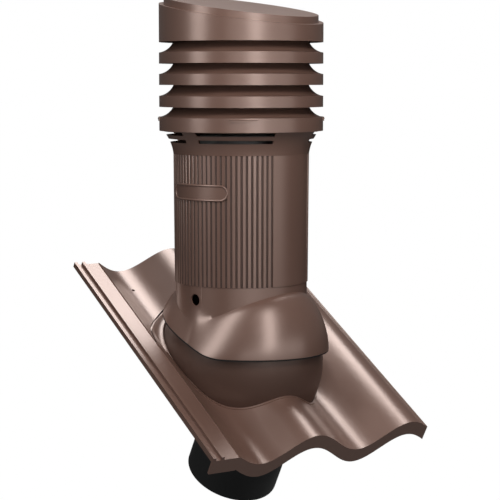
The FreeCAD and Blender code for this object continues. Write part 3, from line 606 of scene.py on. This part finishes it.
def hood_outline(degrees):
    """One outline of the hood: up its outer skin, over the spigot and down its inner skin."""
    outer_rim = rim_level(degrees, 0) + LIP_HEIGHT
    inner_rim = min(rim_level(degrees, WALL) + LIP_HEIGHT, SPIGOT_FOOT - LEAST_STEP)
    crease = max(crease_level(math.radians(FRONT - degrees)), outer_rim + LEAST_SKIRT)
    crease = min(crease, NECK_TOP - LEAST_STEP)
    start = outer_rim + RIM_EDGE
    levels = [start + (crease - start) * step / SKIN_ROWS for step in range(SKIN_ROWS + 1)]
    levels += [crease + (NECK_TOP - crease) * step / NECK_ROWS for step in range(1, NECK_ROWS + 1)]
    outline = [around(degrees, hood_reach(degrees, outer_rim) - RIM_EDGE, outer_rim)]
    outline += [around(degrees, hood_reach(degrees, level), level) for level in levels]
    outline += [
        around(degrees, SPIGOT_REACH, NECK_TOP),
        around(degrees, SPIGOT_REACH, HOOD_TOP),
        around(degrees, SPIGOT_REACH - WALL, HOOD_TOP),
        around(degrees, SPIGOT_REACH - WALL, SPIGOT_FOOT),
    ]
    for step in range(INNER_ROWS + 1):
        level = SPIGOT_FOOT + (inner_rim - SPIGOT_FOOT) * step / INNER_ROWS
        outline.append(around(degrees, hood_reach(degrees, level) - WALL, level))
    return outline


def hole_cutter():
    """The round bar that cuts a drain hole through each side of the neck."""
    rounds = []
    for reach in (-HOLE_CUT, HOLE_CUT):
        ring = []
        for step in range(HOLE_CORNERS):
            swing = math.radians((step + 0.5) * 360 / HOLE_CORNERS)
            across = HOLE_REACH * math.cos(swing)
            x = reach * math.cos(TURN) - across * math.sin(TURN)
            y = reach * math.sin(TURN) + across * math.cos(TURN)
            ring.append((x, y, HOLE_LEVEL + HOLE_REACH * math.sin(swing)))
        rounds.append(ring)
    return skin("hole_cutter", rounds, closed=False)


def hood_with_neck():
    """The hood, its neck and the spigot for the pipe, with a drain hole at each side."""
    angles = [step * HOOD_DEGREES for step in range(int(360 / HOOD_DEGREES))]
    for side in (90, 270):
        for way in (-1, 1):
            angles += [side + way * STRIP_HALF, side + way * (STRIP_HALF + STRIP_EDGE)]
    hood = skin("hood_with_neck", [hood_outline(degrees) for degrees in sorted(angles)])
    carve(hood, [hole_cutter()])
    dress(hood, "hood_shell", HOOD_SHARP)


def painted_shadow_rim_lip():
    """The dark lip set back under the hood's rim: a black strip that paints the shadow gap between rim and dome.
    """
    rows = []
    for degrees in range(0, 360, LIP_DEGREES):
        foot = rim_level(degrees, LIP_STEP)
        top = foot + LIP_HEIGHT + LIP_HIDDEN
        inner = WALL - LIP_INNER
        profile = ((LIP_STEP, foot), (LIP_STEP, top), (inner, top), (inner, foot))
        row = []
        for inset, level in profile:
            row.append(around(degrees, hood_reach(degrees, level) - inset, level))
        rows.append(row)
    lip = skin("hood_rim_painted_shadow_lip", rows)
    # The black lip stands in for the shadow gap under the rim: painted shadow.
    lip.data.materials.append(rubber_and_painted_shadow)
    smooth(lip, PIECE_SHARP)
    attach(lip, "chimney")


# The catches on the lowest louvre ring

RING_REACH = 109.0 * MM
TAB_ANGLES = (45, 135, 225, 315)
TAB_FOOT = 319.9 * MM
TAB_TOP = 324.5 * MM
TAB_HALF = 9.0
TAB_RISE = 2.2 * MM
TAB_TOP_RISE = 0.9 * MM
TAB_ROOT = 1.5 * MM
TAB_STEPS = 12


def ring_tabs():
    """The four catches on the lowest louvre ring, each a wedge with an upper and a lower slope."""
    profile = (
        (RING_REACH - TAB_ROOT, TAB_FOOT),
        (RING_REACH, TAB_FOOT),
        (RING_REACH + TAB_RISE, (TAB_FOOT + TAB_TOP) / 2),
        (RING_REACH + TAB_TOP_RISE, TAB_TOP),
        (RING_REACH - TAB_ROOT, TAB_TOP),
    )
    for number, middle in enumerate(TAB_ANGLES, start=1):
        outlines = []
        for step in range(TAB_STEPS + 1):
            degrees = middle + TAB_HALF * (2 * step / TAB_STEPS - 1)
            outlines.append([around(degrees, *corner) for corner in profile])
        tab = skin(f"ring_tab_{number}", outlines, closed=False)
        tab.data.materials.append(brown_plastic)
        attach(tab, "chimney")


# Studio

ROOM_LIGHT = 0.08
GLOSS_SHARE = 0.05
FLOOR_LEVEL = -0.6
FLOOR_HALF = 60.0
FLOOR_GREY = 0.12
FLOOR_WHITE = 0.98
FLOOR_GLOW = 1.02
CAMERA_PLACE = (-1.1798, -1.8229, 0.3729)
CAMERA_DOWN = 5.97
CAMERA_LEFT = -33.22
WHITE = (1, 1, 1, 1)
LAMPS = (
    ("left_strip", (-2.35, 0.12, 1.6), (0, 0, 0.4), (1.0, 2.8), 38, True),
    ("front_strip", (-0.53, -2.3, 1.6), (0, 0, 0.4), (0.8, 2.8), 34, True),
    ("top_box", (0.66, 0.78, 2.3), (0, 0, 0), (1.5, 1.5), 47, True),
    ("head_fill", (-0.22, -0.72, 0.84), (0, 0, 0.4), (0.6, 0.3), 6.5, False),
    ("low_panel", (-0.22, -3.19, 0.2), (0, 0, 0.2), (7.0, 1.0), 26, True),
)


def camera():
    """The photo's view of the vent: from the front left, a little from above."""
    lens = bpy.data.cameras.new("view")
    lens.lens = 117.0
    lens.sensor_width = 36.0
    lens.clip_start = 0.05
    seen = bpy.data.objects.new("view", lens)
    bpy.context.scene.collection.objects.link(seen)
    seen.location = CAMERA_PLACE
    seen.rotation_euler = (math.radians(90 - CAMERA_DOWN), 0, math.radians(CAMERA_LEFT))
    bpy.context.scene.camera = seen


def lamp(name, place, aim, size, power, shows):
    """A soft rectangular lamp that looks at a point; one that doesn't show leaves no reflection."""
    light = bpy.data.lights.new(name, "AREA")
    light.shape = "RECTANGLE"
    light.size, light.size_y = size
    light.energy = power
    holder = bpy.data.objects.new(name, light)
    bpy.context.scene.collection.objects.link(holder)
    holder.location = place
    holder.visible_camera = False
    holder.visible_glossy = shows
    way = Vector(aim) - Vector(place)
    holder.rotation_euler = way.to_track_quat("-Z", "Y").to_euler()


def surroundings():
    """A dim grey room that the camera sees as white."""
    world = bpy.data.worlds.new("studio")
    world.use_nodes = True
    bpy.context.scene.world = world
    studio = Tree(world.node_tree, "Background")
    studio.feed("Color", WHITE)
    studio.feed("Strength", ROOM_LIGHT)
    paper = studio.node("ShaderNodeBackground", Color=WHITE, Strength=1.0)
    camera_ray, clear_ray, glossy_ray = (
        studio.node("ShaderNodeLightPath", output=f"Is {kind} Ray")
        for kind in ("Camera", "Transmission", "Glossy")
    )
    studio.cover(camera_ray + clear_ray + glossy_ray * GLOSS_SHARE, paper, "World Output")


def floor():
    """A pale floor well below the vent, white to the camera but for the vent's soft shadow."""
    mesh = bpy.data.meshes.new("floor")
    ways = ((-1, -1), (1, -1), (1, 1), (-1, 1))
    corners = [(x * FLOOR_HALF, y * FLOOR_HALF, FLOOR_LEVEL) for x, y in ways]
    mesh.from_pydata(corners, [], [(0, 1, 2, 3)])
    plane = bpy.data.objects.new("floor", mesh)
    bpy.context.scene.collection.objects.link(plane)
    finish = Finish("pale_floor")
    finish.feed("Base Color", (FLOOR_GREY, FLOOR_GREY, FLOOR_GREY, 1))
    finish.feed("Roughness", 0.9)
    glow = finish.node("ShaderNodeEmission", Strength=FLOOR_GLOW)
    seen = finish.node("ShaderNodeLightPath", output="Is Camera Ray") * FLOOR_WHITE
    finish.cover(seen, glow, "Material Output")
    mesh.materials.append(finish.material)


fluted_pipe()
slotted_flare()
hood_with_neck()
painted_shadow_rim_lip()
ring_tabs()
for part in nodes.values():
    smooth(part, NODE_SHARP)

camera()
surroundings()
floor()
for settings in LAMPS:
    lamp(*settings)
bpy.context.scene.view_settings.view_transform = "Standard"
